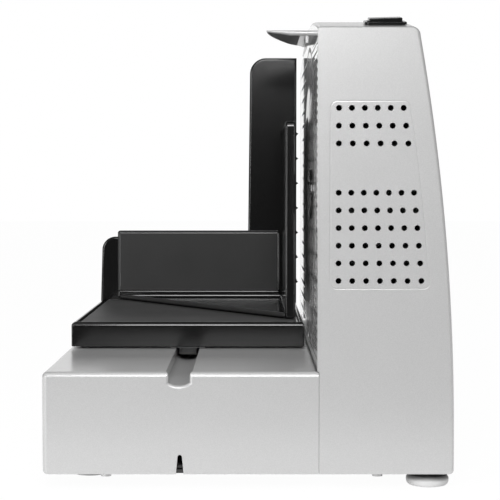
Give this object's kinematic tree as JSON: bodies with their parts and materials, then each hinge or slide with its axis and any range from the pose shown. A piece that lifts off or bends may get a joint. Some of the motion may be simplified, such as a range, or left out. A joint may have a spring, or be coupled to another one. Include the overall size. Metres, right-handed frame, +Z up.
{
  "type": "electric food slicer",
  "caption": "Electric food slicer with a round blade, a sliding food carriage and pusher, a knob-set stop plate and a geared motor in an arched housing.",
  "frame": {"origin": "under the middle of the machine's bounding box, on the surface that it stands on", "axes": "+Z up, +Y towards the operator's end with the knob, +X towards the motor housing; the blade's shaft lies along X"},
  "size_m": [0.2446, 0.342, 0.289],
  "materials": {
    "silver_lacquer": "satin silver lacquer on cast metal, very fine grain",
    "brushed_plate": "bright brushed stainless steel with pressed ribs",
    "blade_steel": "polished and ground stainless steel",
    "black_plastic": "black moulded plastic, fine satin grain",
    "switch_plastic": "black switch plastic",
    "foot_rubber": "dark grey suction rubber",
    "copper_winding": "enamelled copper winding and bars",
    "bronze": "plain bronze",
    "cast_iron_grey": "grey cast or laminated iron",
    "pale_nylon": "natural nylon",
    "carbon_brush": "pressed carbon",
    "screw_steel": "zinc-plated steel"
  },
  "bodies": {
    "frame": {"motor_housing": "silver_lacquer", "base_housing": "silver_lacquer", "blade_guard": "silver_lacquer", "base_bottom_cover": "black_plastic", "housing_bottom_cover": "black_plastic", "blade_side_plate": "brushed_plate", "switch_bezel": "switch_plastic", "switch_body": "switch_plastic", "gearbox_housing": "cast_iron_grey", "gearbox_cover": "cast_iron_grey", "shaft_bearing_front": "bronze", "shaft_bearing_rear": "bronze", "stator": "cast_iron_grey", "motor_end_shield": "cast_iron_grey", "brush_carrier": "pale_nylon", "brush_left": "carbon_brush", "brush_right": "carbon_brush", "motor_bearing_near": "bronze", "motor_bearing_far": "bronze", "guide_rod_lower": "screw_steel", "guide_rod_upper": "screw_steel", "rod_support_left": "cast_iron_grey", "rod_support_right": "cast_iron_grey", "dial_ring": "black_plastic", "cord_gland": "foot_rubber", "foot_near_right": "foot_rubber", "foot_far_right": "foot_rubber", "foot_near_left": "foot_rubber", "foot_far_left": "foot_rubber", "base_screw_near": "screw_steel", "base_screw_far": "screw_steel", "housing_screw_near": "screw_steel", "housing_screw_far": "screw_steel", "joining_screw_near": "screw_steel", "joining_screw_far": "screw_steel"},
    "blade_drive": {"blade": "blade_steel", "blade_hub": "pale_nylon", "blade_lock_cap": "black_plastic", "blade_shaft": "screw_steel", "worm_wheel": "bronze"},
    "rotor": {"motor_shaft": "screw_steel", "armature": "copper_winding", "commutator": "copper_winding", "cooling_fan": "black_plastic", "worm": "screw_steel"},
    "stop_slider": {"stop_plate": "brushed_plate", "stop_plate_carrier": "pale_nylon", "follower_pin": "screw_steel"},
    "knob": {"thickness_knob": "black_plastic", "knob_shaft": "screw_steel", "knob_cam": "pale_nylon"},
    "rocker": {"switch_rocker": "switch_plastic"},
    "carriage": {"carriage_tray": "black_plastic", "carriage_wall": "black_plastic", "carriage_shoe": "black_plastic", "wall_screw_1": "screw_steel", "wall_screw_2": "screw_steel"},
    "pusher": {"pusher_plate": "black_plastic", "pusher_panel": "black_plastic"}
  },
  "joints": [
    {"name": "motor_spin", "type": "hinge", "parent": "frame", "child": "rotor", "pos_m": [0.07715, -0.05105, 0.1484], "axis": [0, 1, 0], "continuous": true},
    {"name": "blade_spin", "type": "hinge", "parent": "frame", "child": "blade_drive", "pos_m": [0.07715, -0.05105, 0.1746], "axis": [1, 0, 0], "continuous": true},
    {"name": "knob_turn", "type": "hinge", "parent": "frame", "child": "knob", "pos_m": [0.08615, 0.14895, 0.043], "axis": [0, 1, 0], "range_deg": [0, 300]},
    {"name": "stop_plate_slide", "type": "slide", "parent": "frame", "child": "stop_slider", "axis": [1, 0, 0], "range_m": [0, 0.02]},
    {"name": "switch_rock", "type": "hinge", "parent": "frame", "child": "rocker", "pos_m": [0.08165, -0.15375, 0.27633], "axis": [0, 0.9841, 0.1773], "range_deg": [0, 13]},
    {"name": "carriage_slide", "type": "slide", "parent": "frame", "child": "carriage", "axis": [0, -1, 0], "range_m": [0, 0.19]},
    {"name": "pusher_slide", "type": "slide", "parent": "carriage", "child": "pusher", "axis": [1, 0, 0], "range_m": [-0.07, 0.005]}
  ],
  "couplings": [
    {"joint": "blade_spin", "follows": "motor_spin", "ratio": -0.025},
    {"joint": "knob_turn", "follows": "stop_plate_slide", "rad_per_m": 261.8}
  ]
}
